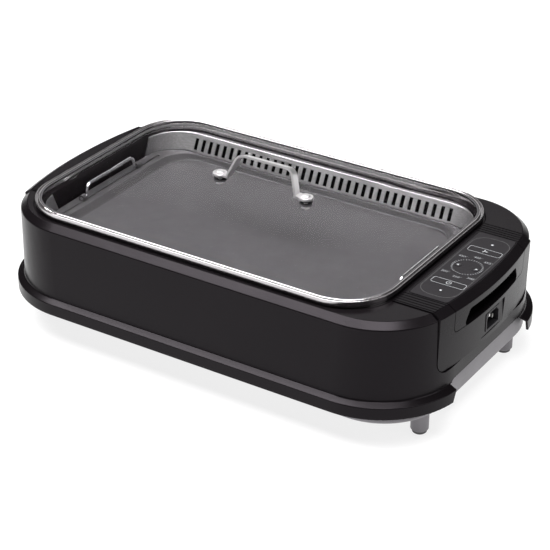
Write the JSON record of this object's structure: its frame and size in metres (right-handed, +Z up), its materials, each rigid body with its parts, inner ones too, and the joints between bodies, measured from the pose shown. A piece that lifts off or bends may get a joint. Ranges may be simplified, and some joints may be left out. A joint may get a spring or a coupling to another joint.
{
  "type": "electric griddle",
  "caption": "Countertop electric griddle with a flat plate in a vented well, a glass lid with a bridge handle, end finger grips and a key panel.",
  "frame": {"origin": "on the table under the middle of the body", "axes": "+X along the long side towards the controls, +Y to the back, +Z up"},
  "size_m": [0.5106, 0.3124, 0.1859],
  "materials": {
    "housing": "satin black moulded plastic with a very fine grain",
    "pod": "satin black moulded plastic, a shade greyer than the body",
    "panel": "smooth dark panel with fine printed marks",
    "key": "smooth dark key caps with a printed outline",
    "print": "milky light guide",
    "inlet": "black moulded socket",
    "contacts": "nickel-plated contacts",
    "board": "green circuit board",
    "switch": "small moulded switches",
    "screw": "zinc-plated steel",
    "pan": "mid-grey moulded plastic",
    "foot_rubber": "dark grey rubber",
    "motor": "dark painted motor can",
    "fan": "dark moulded plastic",
    "box_steel": "aluminised steel sheet",
    "element": "dull oxidised steel tube",
    "ceramic": "unglazed ceramic",
    "tray": "pressed aluminium tray",
    "griddle": "grey non-stick coating on cast aluminium",
    "bright_wire": "chromed round wire",
    "liner": "brushed stainless sheet",
    "glass": "clear toughened glass",
    "rim": "polished stainless channel",
    "handle": "polished stainless strap and fasteners",
    "seal": "black silicone"
  },
  "bodies": {
    "base": {"outer_housing": "housing", "control_pod": "pod", "left_end_cover": "pod", "inlet_socket": "inlet", "inlet_pins": "contacts", "control_panel": "panel", "dial_light_ring": "panel", "status_lamps": "print", "control_board": "board", "tact_switches": "switch", "board_screws": "screw", "bottom_pan": "pan", "pan_screws": "screw", "feet": "pan", "foot_pads": "foot_rubber", "fan_motor": "motor", "fan_shroud": "fan", "heater_box": "box_steel", "support_frame": "box_steel", "heating_element": "element", "element_clips": "box_steel", "heater_terminals": "ceramic", "temperature_sensor": "contacts", "front_liner": "liner", "rear_liner": "liner"},
    "tray": {"drip_tray": "tray"},
    "plate": {"griddle_plate": "griddle", "bail_lugs": "griddle"},
    "bail_left": {"bail_left": "bright_wire"},
    "bail_right": {"bail_right": "bright_wire"},
    "lid": {"lid_glass": "glass", "lid_rim": "rim", "lid_gasket": "seal", "lid_handle": "handle", "upper_washers": "seal", "lower_washers": "seal", "handle_screws": "handle", "handle_nuts": "handle"},
    "fan": {"fan_shaft": "screw", "fan_impeller": "fan"},
    "fan_key": {"fan_key": "key"},
    "power_key": {"power_key": "key"},
    "temperature_up_key": {"temperature_up_key": "key"},
    "temperature_down_key": {"temperature_down_key": "key"}
  },
  "joints": [
    {"name": "tray_lift", "type": "slide", "parent": "base", "child": "tray", "axis": [0, 0, 1], "range_m": [0, 0.13]},
    {"name": "plate_lift", "type": "slide", "parent": "tray", "child": "plate", "axis": [0, 0, 1], "range_m": [0, 0.12]},
    {"name": "lid_lift", "type": "slide", "parent": "plate", "child": "lid", "axis": [0, 0, 1], "range_m": [0, 0.15]},
    {"name": "bail_left_hinge", "type": "hinge", "parent": "plate", "child": "bail_left", "pos_m": [-0.204, 0, 0.1146], "axis": [0, 1, 0], "range_deg": [0, 84]},
    {"name": "bail_right_hinge", "type": "hinge", "parent": "plate", "child": "bail_right", "pos_m": [0.172, 0, 0.1146], "axis": [0, -1, 0], "range_deg": [0, 84]},
    {"name": "fan_spin", "type": "hinge", "parent": "base", "child": "fan", "pos_m": [-0.016, 0, 0.05], "axis": [0, 0, 1], "continuous": true},
    {"name": "fan_key_press", "type": "slide", "parent": "base", "child": "fan_key", "axis": [0, 0, -1], "range_m": [0, 0.0008], "stiffness_N_per_m": 900, "springref_m": -0.0004},
    {"name": "power_key_press", "type": "slide", "parent": "base", "child": "power_key", "axis": [0, 0, -1], "range_m": [0, 0.0008], "stiffness_N_per_m": 900, "springref_m": -0.0004},
    {"name": "temperature_up_press", "type": "slide", "parent": "base", "child": "temperature_up_key", "axis": [0, 0, -1], "range_m": [0, 0.0008], "stiffness_N_per_m": 900, "springref_m": -0.0004},
    {"name": "temperature_down_press", "type": "slide", "parent": "base", "child": "temperature_down_key", "axis": [0, 0, -1], "range_m": [0, 0.0008], "stiffness_N_per_m": 900, "springref_m": -0.0004}
  ]
}
